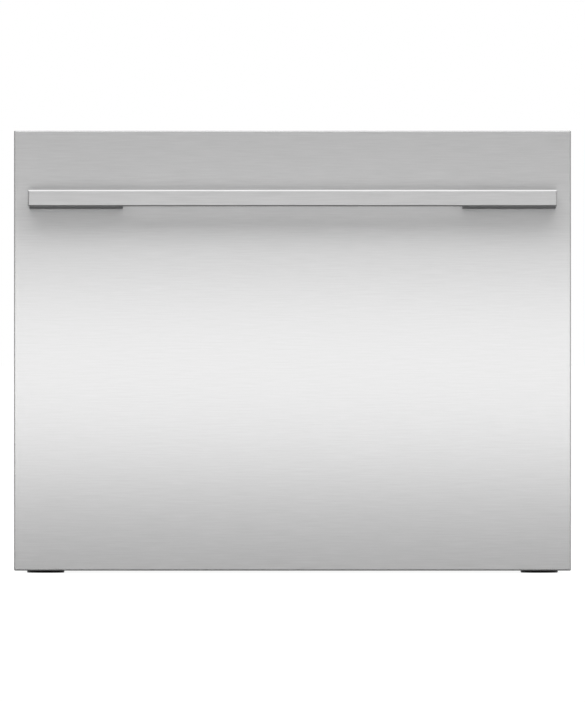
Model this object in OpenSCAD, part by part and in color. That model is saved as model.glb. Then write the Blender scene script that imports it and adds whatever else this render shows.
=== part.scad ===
// Built-in dishwasher drawer: a steel chassis, and a tub on ball slides behind a steel front panel.
// X runs to the right, Y from the front to the back and Z up. The origin is on the floor,
// under the middle of the machine.

/* [Front panel] */
// Width of the front panel
panel_w = 596; // [594:1:604]
// Height of the front panel
panel_h = 471; // [466:1:480]
// Depth of the panel's folded edges
panel_t = 20; // [18:1:22]
// Gap under the panel's lower edge
panel_gap = 3; // [2:1:6]
// Thickness of the panel's steel
skin = 1.2; // [0.8:0.1:1.4]

/* [Handle] */
// Length of the bar
handle_w = 565; // [540:0.1:580]
// Height of the bar
handle_h = 17.6; // [14:0.1:22]
// Thickness of the bar, front to back
handle_t = 14; // [10:1:18]
// How far the bar's face stands in front of the panel
handle_reach = 45; // [38:1:55]
// Distance from the panel's top edge down to the bar
handle_drop = 63.5; // [50:0.5:80]
// Length of the block behind each end of the bar
block_w = 99.6; // [80:0.1:120]

/* [Chassis] */
// Width of the chassis
chassis_w = 594; // [594:1:594]
// Height of the chassis
chassis_h = 454; // [454:1:458]
// Depth from the panel's face to the chassis's back
body_d = 573; // [573:1:590]
// Thickness of the chassis's steel
sheet = 1.2; // [1:0.1:1.4]
// Height of a levelling foot, wound right in
foot_h = 18; // [18:1:30]
// How far a levelling foot winds out
foot_travel = 15; // [5:1:18]

/* [Motion] */
// Travel of the drawer
drawer_travel = 520; // [400:10:520]
// Travel of the lid between its raised place and the tub's rim
lid_travel = 10; // [8:1:10]

/* [Racks] */
// Radius of a rack's thin wires
wire = 1.8; // [1.5:0.1:2]
// Radius of a rack's frame wires
frame_wire = 2.5; // [2:0.1:2.5]
// Distance between the rack's cross wires
wire_pitch = 38; // [34:1:46]
// Height of a plate tine
tine_h = 82; // [60:1:88]
// Distance between plate tines
tine_pitch = 27; // [22:1:32]

/* [Hidden] */
$fn = 48;
front_y = -(handle_reach + body_d) / 2 + handle_reach; // the panel's face
base_z = foot_h;                                       // the chassis's underside
panel_z = [panel_gap - base_z, panel_gap + panel_h - base_z];
chassis_d = [panel_t + 2, body_d];                     // depth of the chassis, from the panel's face
half_w = chassis_w / 2;
in_x = half_w - sheet;                                 // a side wall's inner face
play = 0.4;                                            // gap between a moving piece and its neighbour
run = 0.05;                                            // radial clearance of a running fit

// Heights above the chassis's underside
tray_floor = 3;
link_z = [5, 19];          // undersides of the two hose arms
link_h = 12;
well_z = 32;               // underside of the pump well
sump_z = 60;               // underside of the sump's floor
floor_z = 72;              // underside of the tub's floor
ledge_z = 103;             // the ledge that the racks stand on
rim_z = 408;               // the tub's rim
seal_h = 8;
seal_z = rim_z + play + lid_travel;
lid_z = seal_z + seal_h;   // underside of the lid's plate
lid_rib_z = 444;
control_z = [426, 438];    // underside and top of the control housing
wall = 4;                  // the tub's wall
rim_out = 280;             // half the width of the rim

// Tub, as half widths and depths from the panel's face
tub_x = 272;
tub_d = [64, 541];
low_x = 262;
low_d = [74, 531];
rim_d = [54.2, 549.8];
mid_d = (tub_d[0] + tub_d[1]) / 2;                     // the spray arm's axis

// Ball slides, as distances in from the side wall
slide_z = 56;              // middle of the slides
slide_d = [26, 566];
slide_skin = 1.4;
outer_half = 22.5;         // half heights of the three members
middle_half = 17.4;
inner_half = 12.9;
slide_face = 12.5;         // the inner member's face

// Lid drive
lift_d = 308;              // depth of the lifting links
lift_x = [290.2, 294.2];
pinion_teeth = 12;
module_mm = 1.5;
pinion_r = pinion_teeth * module_mm / 2;
tooth_add = 1;
tooth_ded = 1.5;
tooth_gap = 0.06;
pressure = 20;
pinion_at = [lift_d + 16, 332];                        // depth and height of the pinions' axis

// Hose arms: two equal arms, hinged at the chassis and at an elbow
arm_l = 400;
arm_w = 28;
arm_x = -200;              // both end pivots lie on this line
arm_d = [545, 492];        // depths of the chassis's pivot and of the drawer's pivot
arm_rest = asin((arm_d[0] - arm_d[1]) / 2 / arm_l);    // angle of each arm from the X axis at rest
elbow = [arm_x + arm_l * cos(arm_rest), arm_d[0] - arm_l * sin(arm_rest)];
end_pin = 12;              // the hollow pin that moves in the drawer's slotted bracket

// Racks, as distances from the middle of the tub
rack_x = [5, 262];
rack_d = [74, 531];
rack_z = ledge_z + frame_wire + 0.1;                   // the lowest wires' middle
cross_z = rack_z + frame_wire + wire - 0.5;
rack_top = 208;
tine_r = 1.7;
tine_axis_r = 2.25;
tine_z = cross_z + wire + tine_axis_r + 0.3;
tine_x = [104, 200];
cup_z = 221;
cup_x = 255;
cup_w = 95;
cup_pitch = 30;

// ---- Shapes that repeat. Depths (d) run back from the panel's face, heights (z) up from the chassis.

module slab(x, d, z) {
    translate([x[0], front_y + d[0], base_z + z[0]])
        cube([x[1] - x[0], d[1] - d[0], z[1] - z[0]]);
}

module post(r, x, d, z) {
    translate([x, front_y + d, base_z + z[0]]) cylinder(r = r, h = z[1] - z[0]);
}

module rod_x(r, x, d, z) {
    translate([x[0], front_y + d, base_z + z]) rotate([0, 90, 0]) cylinder(r = r, h = x[1] - x[0]);
}

module rod_y(r, x, d, z) {
    translate([x, front_y + d[0], base_z + z]) rotate([-90, 0, 0]) cylinder(r = r, h = d[1] - d[0]);
}

// A slab with round upright corners, centred on the machine's middle plane
module round_slab(half_x, d, z, r) {
    translate([0, front_y, base_z + z[0]]) linear_extrude(z[1] - z[0]) {
        translate([-half_x + r, d[0]]) square([2 * (half_x - r), d[1] - d[0]]);
        translate([-half_x, d[0] + r]) square([2 * half_x, d[1] - d[0] - 2 * r]);
        for (x = [-half_x + r, half_x - r], y = [d[0] + r, d[1] - r]) translate([x, y]) circle(r);
    }
}

// A slot with round ends, cut along Y
module slot_y(r, x, d, z) {
    slab([x - r, x + r], d, z);
    for (y = d) post(r, x, y, z);
}

module both_sides() {
    children();
    mirror([1, 0, 0]) children();
}

module on_side(side) {
    if (side > 0) children();
    else mirror([1, 0, 0]) children();
}

// A tube laid along points, with a ball at each bend that is a little thicker than the tube
module hose(r, points) {
    for (i = [0 : len(points) - 2]) {
        step = points[i + 1] - points[i];
        length = norm(step);
        translate(points[i])
            rotate([0, acos(step[2] / length), atan2(step[1], step[0])]) cylinder(r = r, h = length);
    }
    for (i = [1 : 1 : len(points) - 2]) translate(points[i]) sphere(r + 0.15);
}

function place(x, d, z) = [x, front_y + d, base_z + z];

// ---- Chassis

foot_x = 265;
foot_d = [60, 535];
tray_x = 295.5;

// Drip tray that is the chassis's floor: walls all round, and a threaded boss over each foot
module base_tray() {
    tray_d = [24, 570];
    wall_h = 30;
    front_h = 12;      // low in front, where the hose arms pass over it
    lip = 3;
    boss = 14;
    boss_top = 24;
    pivot_r = 6;
    rib = 3;
    color("dimgray") difference() {
        union() {
            slab([-tray_x, tray_x], tray_d, [0, tray_floor]);
            for (x = [[-tray_x, -tray_x + lip], [tray_x - lip, tray_x]]) slab(x, tray_d, [0, wall_h]);
            slab([-tray_x, tray_x], [tray_d[1] - lip, tray_d[1]], [0, wall_h]);
            slab([-tray_x, tray_x], [tray_d[0], tray_d[0] + lip], [0, front_h]);
            for (x = [-foot_x, foot_x], d = foot_d) post(boss, x, d, [0, boss_top]);
            for (d = [160, 250, 400]) slab([-tray_x, tray_x], [d, d + rib], [0, tray_floor + 1]);
            post(pivot_r, arm_x, arm_d[0], [0, link_z[0] + link_h]);
            post(pivot_r + 6, arm_x, arm_d[0], [0, link_z[0] - play]);
        }
        for (x = [-foot_x, foot_x], d = foot_d) post(4 + run, x, d, [-1, boss_top + 1]);
    }
}

// Side of the chassis: a steel sheet with folded edges, pressed grooves and screw holes
module side_panel() {
    flange = 10;
    back_flange = 15;
    groove_r = 6;
    groove_deep = 0.6;
    fixing_d = 34;
    vent_r = 2;
    top = chassis_h - sheet;
    slide_gap = [slide_z - outer_half - 3, slide_z + outer_half + 3];
    color("silver") difference() {
        union() {
            slab([in_x, half_w], chassis_d, [0, top]);
            slab([half_w - flange, half_w], [chassis_d[0], chassis_d[0] + sheet], [0, top]);
            slab([half_w - back_flange, half_w], [body_d - sheet, body_d], [0, top]);
            slab([half_w - back_flange, half_w], [chassis_d[0] + sheet + 0.1, body_d], [top - sheet, top]);
        }
        slab([half_w - flange - 1, in_x], [chassis_d[0] - 1, chassis_d[0] + sheet + 1], slide_gap);
        for (z = [150, 210, 390])
            for (x = [half_w - groove_deep]) {
                slab([x, half_w + 1], [90, 500], [z - groove_r, z + groove_r]);
                for (d = [90, 500]) rod_x(groove_r, [x, half_w + 1], d, z);
            }
        for (z = fixing_z) rod_x(2.5, [in_x - 1, half_w + 1], fixing_d, z);
        for (d = [430 : 14 : 486], z = [270, 284]) rod_x(vent_r, [in_x - 1, half_w + 1], d, z);
    }
}
fixing_z = [134, 384];

// Back of the chassis, with the window for the hose connections
module rear_panel() {
    edge = 296;
    color("silver") difference() {
        union() {
            slab([-edge + 0.5, edge - 0.5], [body_d - 2 * sheet, body_d - sheet], [0, chassis_h - 2 * sheet]);
            slab([-edge + 0.5, edge - 0.5], [body_d - 14, body_d - sheet], [-sheet, 0]);
        }
        slab(pocket_x, [body_d - 10, body_d], pocket_z);
        for (x = [-180 : 60 : 60]) {
            slab([x - 18, x + 18], [body_d - 10, body_d], [330, 334]);
            slab([x - 18, x + 18], [body_d - 10, body_d], [342, 346]);
        }
    }
}

// Top of the chassis: a steel sheet with a folded front edge and two holes for screws into the worktop
module top_panel() {
    lip_h = 12;
    hole_d = 36;
    groove_deep = 0.6;
    color("silver") difference() {
        union() {
            slab([-half_w, half_w], chassis_d, [chassis_h - sheet, chassis_h]);
            slab([-half_w + 10.2, half_w - 10.2], [chassis_d[0], chassis_d[0] + sheet], [chassis_h - lip_h, chassis_h]);
        }
        for (x = [-worktop_x, worktop_x]) post(2.5, x, hole_d, [chassis_h - 5, chassis_h + 5]);
        for (x = [-150 : 100 : 150])
            slab([x - 7, x + 7], [110, 480], [chassis_h - groove_deep, chassis_h + 1]);
    }
}
worktop_x = 250;

// Soft strip round the chassis's mouth, which the front panel closes against
module door_gasket() {
    d = [panel_t + play, chassis_d[0]];
    x = [half_w - 9, half_w - 1];
    top = chassis_h - 3;
    color("black") union() {
        both_sides() slab(x, d, [slide_z + outer_half + 6, top]);
        slab([-x[1], x[1]], d, [top - 8, top]);
    }
}

// One member of a ball slide: a channel, open towards the tub
module channel(web, reach, half, d) {
    slab([in_x - web[1], in_x - web[0]], d, [slide_z - half, slide_z + half]);
    for (z = [slide_z - half, slide_z + half - slide_skin])
        slab([in_x - reach[1], in_x - reach[0]], d, [z, z + slide_skin]);
}

module slide_outers() {
    color("gainsboro") both_sides() channel([0, slide_skin], [0, 10], outer_half, slide_d);
}

module slide_middles() {
    color("gainsboro") both_sides() channel([5.4, 6.8], [2.4, 9.6], middle_half, slide_d);
}

module slide_inners() {
    color("gainsboro") both_sides()
        channel([slide_face - slide_skin, slide_face], [7.4, slide_face], inner_half, slide_d);
}

// Strips of steel balls between two members
module ball_cage(ball, from_wall, strip, half) {
    count = 9;
    both_sides() for (side = [-1, 1]) {
        z = slide_z + side * half;
        union() {
            slab([in_x - strip[1], in_x - strip[0]], [60, 500], [z - 0.4, z + 0.4]);
            for (i = [0 : count - 1])
                translate(place(in_x - from_wall, 80 + i * 50, z)) sphere(ball);
        }
    }
}

module ball_cages_outer() { color("goldenrod") ball_cage(1.7, 5.5, [2.8, 8.2], 19.25); }
module ball_cages_inner() { color("goldenrod") ball_cage(1.4, 8.5, [7.3, 9.9], 14.45); }

// Geared motors that drive the lid: a flat motor on legs, with a plate against the chassis's side
module lid_actuators() {
    motor_x = [282.4, 289.8];
    motor_r = 24;
    plate_x = [294.6, in_x];
    d = pinion_at[0];
    z = pinion_at[1];
    shaft = 3;
    color("ivory") both_sides() difference() {
        union() {
            rod_x(motor_r, motor_x, d, z);
            slab(motor_x, [d, d + 40], [z - 10, z + 10]);
            slab(plate_x, [d - 30, d + 46], [z - 34, z + 34]);
            for (s = [-1, 1]) {
                rod_x(3.5, [motor_x[1] - 2, plate_x[0] + 0.5], d + 18, z + s * 14);
                slab([motor_x[0], plate_x[0] + 0.5], [d + 30, d + 40], [z + s * 5 - 5, z + s * 5 + 5]);
            }
        }
        rod_x(shaft + run, [motor_x[0] + 2, in_x + 1], d, z);
    }
}

pocket_x = [110, 270];
pocket_z = [39, 95];
pocket_d = 537;
pocket_wall = 2;
gland_x = 138;
gland_r = 4.5;
connect_z = 68;

// Moulded pocket in the back, where the hoses and the cable enter. The cable's clamp is part of it.
module service_pocket() {
    w = pocket_wall;
    lip = 5;
    lip_d = [body_d - 2 * sheet - w, body_d - 2 * sheet];
    color("slategray") difference() {
        union() {
            slab([pocket_x[0] - w, pocket_x[1] + w], [pocket_d - w, body_d - 2 * sheet], [pocket_z[0] - w, pocket_z[1] + w]);
            slab([pocket_x[0] - lip - w, pocket_x[1] + lip + w], lip_d, [pocket_z[0] - lip, pocket_z[1] + lip]);
            for (z = back_hose_z) rod_x(hose_r + 2, [pocket_x[0] - 12, pocket_x[0] - 1], hose_d, z);
        }
        for (z = back_hose_z) rod_x(hose_r + 0.2, [pocket_x[0] - 13, pocket_x[0] - 0.8], hose_d, z);
        slab(pocket_x, [pocket_d, body_d], pocket_z);
        rod_y(gland_r, gland_x, [pocket_d - 5, body_d], connect_z);
        rod_y(12.2, inlet_x, [pocket_d - 5, pocket_d + 1], connect_z);
        rod_y(8.2, drain_x, [pocket_d - 5, pocket_d + 1], connect_z);
    }
    color("slategray") difference() {
        rod_y(11, gland_x, [pocket_d, pocket_d + 14], connect_z);
        rod_y(gland_r, gland_x, [pocket_d - 1, pocket_d + 15], connect_z);
    }
}
inlet_x = 236;
drain_x = 186;
inlet_r = 13.2;
drain_r = 10;

// Solenoid valve for the water supply, with its hose thread
module inlet_valve() {
    d = pocket_d;
    color("white") union() {
        rod_y(inlet_r, inlet_x, [d + 6, d + 30], connect_z);
        rod_y(17, inlet_x, [d, d + 6], connect_z);
        rod_y(12, inlet_x, [d - 2, d], connect_z);
        slab([inlet_x + 16.4, inlet_x + 32], [d, d + 20], [connect_z - 22, connect_z + 4]);
    }
}

// Spigot that the drain hose is clamped on
module drain_spigot() {
    d = pocket_d;
    color("slategray") difference() {
        union() {
            rod_y(drain_r, drain_x, [d + 4, d + 30], connect_z);
            rod_y(14, drain_x, [d, d + 4], connect_z);
            rod_y(8, drain_x, [d - 2, d], connect_z);
        }
        rod_y(7, drain_x, [d + 2, d + 31], connect_z);
    }
}

hose_d = 554;
hose_r = 4.6;
hose_gap = 10.4;
back_hose_z = [84, 54];

// Fill and drain hoses, from the pocket along the back to the first hose arm
module chassis_hoses() {
    drop = link_z[1] + link_h + 3;
    start = pocket_x[0] - 1;
    color("darkgray") for (i = [0, 1]) {
        z = back_hose_z[i];
        x = arm_x - hose_gap / 2 + i * hose_gap;
        hose(hose_r, [place(start, hose_d, z), place(x, hose_d, z), place(x, hose_d, drop)]);
    }
}

// Pan-head screws: through the sides into the slides, and round the top and the back
module chassis_screws() {
    r = 3.6;
    head = 0.9;
    color("lightgray") union() {
        both_sides() for (d = [50, 200, 350, 540]) rod_x(r, [half_w, half_w + head], d, slide_z);
        both_sides() for (d = [60, 300, 530]) post(r, half_w - 8, d, [chassis_h, chassis_h + head]);
        both_sides() for (z = [20, 220, 400])
            rod_y(r, half_w - 24, [body_d - sheet, body_d - sheet + head], z);
    }
}

// Levelling foot: a pad and a hexagon under a threaded stud
module foot(x, d) {
    pad = 20;
    pad_h = 6;
    stud_top = 26;
    color("black") union() {
        post(pad, x, d, [-foot_h, -foot_h + pad_h]);
        translate(place(x, d, -foot_h + pad_h)) cylinder(r = 9, h = foot_h - pad_h - 0.5, $fn = 6);
        post(4, x, d, [-foot_h + pad_h, stud_top]);
    }
}

// ---- Front panel and handle

handle_z = panel_z[1] - handle_drop - handle_h / 2;
screw_x = [208, 260];
hook_w = 12;

// Front panel: one sheet with its four edges folded back, and the edges folded in again
module door_panel() {
    x = panel_w / 2;
    in = x - skin;
    z = panel_z;
    color("lightgray") difference() {
        slab([-x, x], [0, panel_t], z);
        slab([-in, in], [skin, panel_t - skin], [z[0] + skin, z[1] - skin]);
        slab([-in + hook_w, in - hook_w], [skin, panel_t + 1], [z[0] + skin + hook_w, z[1] - skin - hook_w]);
        both_sides() for (sx = screw_x) rod_y(2.2, sx, [-1, skin + 1], handle_z);
    }
}

// Bar of the handle: a flat bar with a fine chamfer along its front edges
module handle_bar() {
    x = handle_w / 2;
    z = [handle_z - handle_h / 2, handle_z + handle_h / 2];
    bevel = 1.4;
    face = -handle_reach;
    back = -handle_reach + handle_t;
    color("whitesmoke") difference() {
        slab([-x, x], [face, back], z);
        for (edge = z) translate(place(0, face, edge)) rotate([45, 0, 0])
            cube([handle_w + 10, bevel * sqrt(2), bevel * sqrt(2)], center = true);
        for (side = [-x, x]) translate(place(side, face, handle_z)) rotate([0, 0, 45])
            cube([bevel * sqrt(2), bevel * sqrt(2), handle_h + 10], center = true);
    }
}

// Blocks that carry the bar's two ends
module handle_blocks() {
    inset = 1.4;
    x = [handle_w / 2 - inset - block_w, handle_w / 2 - inset];
    z = [handle_z - handle_h / 2 + inset, handle_z + handle_h / 2 - inset];
    color("darkgray") both_sides() difference() {
        slab(x, [-handle_reach + handle_t, 0], z);
        for (sx = screw_x) rod_y(2.2, sx, [-22, 1], handle_z);
    }
}

// Screws that hold the blocks from behind the panel
module handle_screws() {
    color("silver") both_sides() for (sx = screw_x) union() {
        rod_y(2.1, sx, [-20, skin], handle_z);
        rod_y(4.5, sx, [skin, skin + 3], handle_z);
    }
}

door_x = 283;
door_d = [14, 54];

// Moulded carrier behind the panel: a ribbed box that hooks into the panel's folds
module inner_door() {
    w = 3;
    z = [34, control_z[0]];
    tab = 8;
    color("gainsboro") union() {
        difference() {
            slab([-door_x, door_x], door_d, z);
            slab([-door_x + w, door_x - w], [door_d[0] - 1, door_d[1] - w], [z[0] + w, z[1] - w]);
        }
        for (x = [-150, 0, 150])
            slab([x - w / 2, x + w / 2], [door_d[0] + 6, door_d[1] - w], [z[0] + w, z[1] - w]);
        slab([-door_x + w, door_x - w], [door_d[0] + 6, door_d[1] - w], [220, 220 + w]);
        both_sides() for (low = [90, 210, 330])
            slab([door_x, door_x + tab], [door_d[0] + 1, panel_t - skin - 0.2], [low, low + 20]);
    }
}

button_x = [-120, -84, 84, 120];
button_size = [22, 10];
button_d = 36;

// Control strip on the drawer's top edge, seen only when the drawer is open
module control_housing() {
    w = 2.5;
    d = [panel_t + 0.6, 53];
    z = control_z;
    color("dimgray") difference() {
        slab([-door_x, door_x], d, z);
        slab([-door_x + w, door_x - w], [d[0] + w, d[1] - w], [z[0] - 1, z[1] - w]);
        for (x = button_x)
            slab([x - button_size[0] / 2 - 0.3, x + button_size[0] / 2 + 0.3],
                 [button_d - button_size[1] / 2 - 0.3, button_d + button_size[1] / 2 + 0.3], [z[0], z[1] + 1]);
        slab([-40, 40], [30, 42], [z[1] - 1.2, z[1] + 1]);
        for (x = [200 : 8 : 248]) slab([x, x + 4], [28, 46], [z[0], z[1] + 1]);
    }
    color("darkgreen") slab([-150, 150], [27, 46], [z[0] + 0.2, z[0] + 1.8]);
}

module display_lens() {
    color("black") slab([-39.8, 39.8], [30.2, 41.8], [control_z[1] - 1.2, control_z[1] + 0.3]);
}

// Push button: a cap over a stem and a collar that keeps it under the strip
module button(i) {
    x = button_x[i];
    half = button_size / 2;
    top = control_z[1] + 0.8;
    color("lightgray") union() {
        slab([x - half[0], x + half[0]], [button_d - half[1], button_d + half[1]], [control_z[0] + 6, top]);
        slab([x - half[0] - 2, x + half[0] + 2], [button_d - half[1] - 2, button_d + half[1] + 2],
             [control_z[1] - 4.2, control_z[1] - 2.7]);
        post(2, x, button_d, [control_z[0] + 3.5, control_z[0] + 6.5]);
    }
}

// ---- Tub

dispenser_x = [-79, 79];
dispenser_z = [278, 382];

// One-piece moulded tub: a flat rim, a ledge for the racks, and a hole over the sump
module tub() {
    rim_h = 4;
    corner = 30;
    color("lightgray") difference() {
        union() {
            round_slab(tub_x, tub_d, [ledge_z - wall, rim_z - 1], corner);
            round_slab(low_x, low_d, [floor_z, ledge_z], corner - wall);
            round_slab(rim_out, rim_d, [rim_z - rim_h, rim_z], corner + 6);
        }
        round_slab(tub_x - wall, [tub_d[0] + wall, tub_d[1] - wall], [ledge_z, rim_z + 1], corner - wall);
        round_slab(low_x - wall, [low_d[0] + wall, low_d[1] - wall], [floor_z + wall, ledge_z + 1], corner - 2 * wall);
        post(sump_r + 2, 0, mid_d, [floor_z - 1, floor_z + wall + 1]);
        slab([dispenser_x[0] + 4, dispenser_x[1] - 4], [tub_d[0] - 1, tub_d[0] + wall + 1],
             [dispenser_z[0] + 4, dispenser_z[1] - 4]);
    }
}

sump_r = 110;
well_r = 58;
shaft_r = 4;

// Sump under the tub, with the well that the pump's rotor turns in, and the rotor's fixed shaft
module sump_bowl() {
    w = 4;
    flange_r = 124;
    color("gray") union() {
        difference() {
            union() {
                post(sump_r, 0, mid_d, [sump_z, floor_z]);
                post(flange_r, 0, mid_d, [floor_z - 3, floor_z]);
                post(well_r, 0, mid_d, [well_z, sump_z + 1]);
            }
            post(sump_r - w, 0, mid_d, [sump_z + w, floor_z + 1]);
            post(well_r - w, 0, mid_d, [well_z + w, sump_z + w + 1]);
        }
        post(shaft_r, 0, mid_d, [well_z + w - 1, sump_z + 12]);
    }
}

spigot_r = 12.9;
cover_r = 62;

// Pump cover: slots let the water in round the edge, and the spigot carries the spray arm
module pump_cover() {
    low = sump_z + 4;
    top = low + 14;
    color("slategray") difference() {
        union() {
            post(cover_r, 0, mid_d, [low, low + 10]);
            translate(place(0, mid_d, low + 10)) cylinder(r1 = cover_r, r2 = 34, h = 4);
            post(spigot_r, 0, mid_d, [low + 4, low + 22]);
        }
        post(cover_r - 5, 0, mid_d, [low - 1, low + 9]);
        post(8, 0, mid_d, [low + 5, low + 23]);
        for (a = [15 : 30 : 345]) translate(place(0, mid_d, low + 1.5)) rotate([0, 0, a])
            translate([cover_r - 9, -6, 0]) cube([12, 12, 5]);
    }
}

// Stator of the wash motor, round the outside of the well
module motor_stator() {
    bore = well_r + 0.5;
    outer = 80;
    z = [well_z + 2, sump_z - 2];
    color("saddlebrown") difference() {
        union() {
            post(outer - 4, 0, mid_d, z);
            for (a = [0 : 30 : 330]) translate(place(0, mid_d, z[0])) rotate([0, 0, a])
                translate([outer - 12, -9, 0]) cube([12, 18, z[1] - z[0]]);
        }
        post(bore, 0, mid_d, [z[0] - 1, z[1] + 1]);
    }
}

// Rotor of the pump: magnet ring below, impeller blades above, on the fixed shaft
module pump_rotor() {
    z = [well_z + 6, sump_z + 11];
    mid = sump_z - 2;
    r = 50;
    blades = 8;
    color("dimgray") difference() {
        union() {
            post(r, 0, mid_d, [z[0], mid]);
            for (i = [0 : blades - 1]) translate(place(0, mid_d, mid - 1)) rotate([0, 0, i * 360 / blades])
                translate([8, -1.5, 0]) cube([r - 10, 3, z[1] - mid - 3]);
            post(12, 0, mid_d, [z[0], z[1]]);
        }
        post(shaft_r + run, 0, mid_d, [z[0] - 1, z[1] + 1]);
    }
}

filter_at = 84;
filter_r = 20;

// Perforated plate over the sump
module filter_plate() {
    color("silver") difference() {
        post(sump_r + 1.7, 0, mid_d, [floor_z, floor_z + 2]);
        post(cover_r + 0.5, 0, mid_d, [floor_z - 1, floor_z + 3]);
        post(filter_r, 0, mid_d - filter_at, [floor_z - 1, floor_z + 3]);
        for (r = [70 : 10 : 100], a = [-60 : 12 : 240]) {
            x = r * cos(a);
            d = r * sin(a);
            if (norm([x, d + filter_at]) > filter_r + 5) post(2, x, mid_d + d, [floor_z - 1, floor_z + 3]);
        }
    }
}

// Lift-out drain filter: a cup with a bar to turn it by
module drain_filter() {
    r = filter_r - 0.3;
    z = [sump_z + 4.3, floor_z + 2.6];
    d = mid_d - filter_at;
    color("slategray") union() {
        difference() {
            post(r, 0, d, z);
            post(r - 2.5, 0, d, [z[0] + 2, z[1] + 1]);
        }
        slab([-r + 1.5, r - 1.5], [d - 2.5, d + 2.5], [z[1] - 6, z[1] + 2.6]);
    }
}

// Spray arm: a hub that runs on the pump cover's spigot, and two tapered hollow arms
module spray_arm() {
    z = [79, 98];
    arm_z = [84, 94];
    reach = 205;
    hub = 27;
    tip = 9;
    nozzle = 3;
    color("lightsteelblue") difference() {
        union() {
            post(hub, 0, mid_d, z);
            for (side = [0, 180]) translate(place(0, mid_d, arm_z[0])) rotate([0, 0, side]) {
                linear_extrude(arm_z[1] - arm_z[0]) {
                    polygon([[0, -24], [reach, -tip], [reach, tip], [0, 20]]);
                    translate([reach, 0]) circle(tip);
                }
                for (i = [0 : 4]) translate([52 + i * 36, -3 + i, arm_z[1] - arm_z[0] - 1])
                    cylinder(r = nozzle, h = 3);
            }
        }
        post(spigot_r + run, 0, mid_d, [z[0] - 1, z[0] + 9]);
    }
}

// Steel angles that the tub's ledge rests on, screwed to the slides, and the box that the hose arm's pin
// moves in, along a slot in its floor
module tub_brackets() {
    face = in_x - slide_face;
    t = 1.4;
    span = [door_d[1], 535];
    plate_z = [36, 39];
    box_x = [arm_x - 26, arm_x + 26];
    slot_d = [arm_d[1] - 23.5, arm_d[1]];
    box_d = [slot_d[0] - 18, slot_d[1] + 18];
    color("silver") union() {
        both_sides() union() {
            slab([face - t, face], span, [slide_z - 12, ledge_z - wall]);
            slab([low_x + 1, face], [span[0] + 10, span[1]], [ledge_z - wall - t, ledge_z - wall]);
            slab([low_x - 4, face], [span[0], span[0] + t], [slide_z - 12, ledge_z - wall]);
        }
        difference() {
            slab(box_x, box_d, [plate_z[0], floor_z]);
            slab([box_x[0] + t, box_x[1] - t], [box_d[0] + t, box_d[1] - t], [plate_z[1], floor_z + 1]);
            slot_y(end_pin + play, arm_x, slot_d, [plate_z[0] - 1, plate_z[1] + 1]);
            for (i = [0, 1]) rod_x(hose_r + 0.3, [arm_x, arm_x + 30], drawer_hose_d[i], drawer_hose_z);
        }
    }
}

drawer_hose_z = 50;
drawer_hose_d = [466, 486];
drawer_hose_x = [-46, -24];

// Hoses from the bracket's box to the sump
module drawer_hoses() {
    z = drawer_hose_z;
    color("darkgray") for (i = [0, 1]) {
        d = drawer_hose_d[i];
        x = drawer_hose_x[i];
        rise = mid_d + sqrt(pow(94.7, 2) - x * x);
        hose(hose_r, [place(arm_x + 22, d, z), place(x, d, z), place(x, rise, z), place(x, rise, sump_z - 0.3)]);
    }
}

// Detergent and rinse-aid dispenser, set in the tub's front wall
module dispenser_body() {
    flange_d = [68, 70.5];
    body_d0 = 56;
    color("lightsteelblue") difference() {
        union() {
            slab(dispenser_x, flange_d, dispenser_z);
            slab([dispenser_x[0] + 4.3, dispenser_x[1] - 4.3], [body_d0, flange_d[1]],
                 [dispenser_z[0] + 4.3, dispenser_z[1] - 4.3]);
            for (x = [-76, -4]) slab([x - 3, x + 3], [flange_d[0], 76], [366, 376]);
        }
        slab(cup_box_x, [58.5, 71], cup_box_z);
        rod_y(rinse_r + 0.4, rinse_x, [62, 71], rinse_z);
        rod_x(hinge_r + run, [-80, 0], door_hinge[0], door_hinge[1]);
    }
}
cup_box_x = [-67, -13];
cup_box_z = [292, 356];
hinge_r = 1.5;
door_hinge = [73, 371];
rinse_x = 42;
rinse_z = 330;
rinse_r = 17;

// Lid of the detergent cup, hinged along its top edge
module dispenser_door() {
    x = [-72.6, -7.4];
    color("whitesmoke") union() {
        slab(x, [71, 73], [286, door_hinge[1]]);
        rod_x(hinge_r, [-78.5, -1.5], door_hinge[0], door_hinge[1]);
        rod_x(hinge_r + 0.9, x, door_hinge[0], door_hinge[1]);
        slab([-52, -28], [73, 75], [288, 292]);
    }
}

// Quarter-turn cap of the rinse-aid tank
module rinse_cap() {
    color("steelblue") union() {
        rod_y(rinse_r, rinse_x, [62.2, 73], rinse_z);
        slab([rinse_x - 12, rinse_x + 12], [73, 77], [rinse_z - 2.5, rinse_z + 2.5]);
    }
}

// ---- Racks. A rack is a floor grid and four side grids, with a fine gap between them.

rack_gap = 0.3;
rack_cut = 14;             // cut across the racks' outer corners

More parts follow.
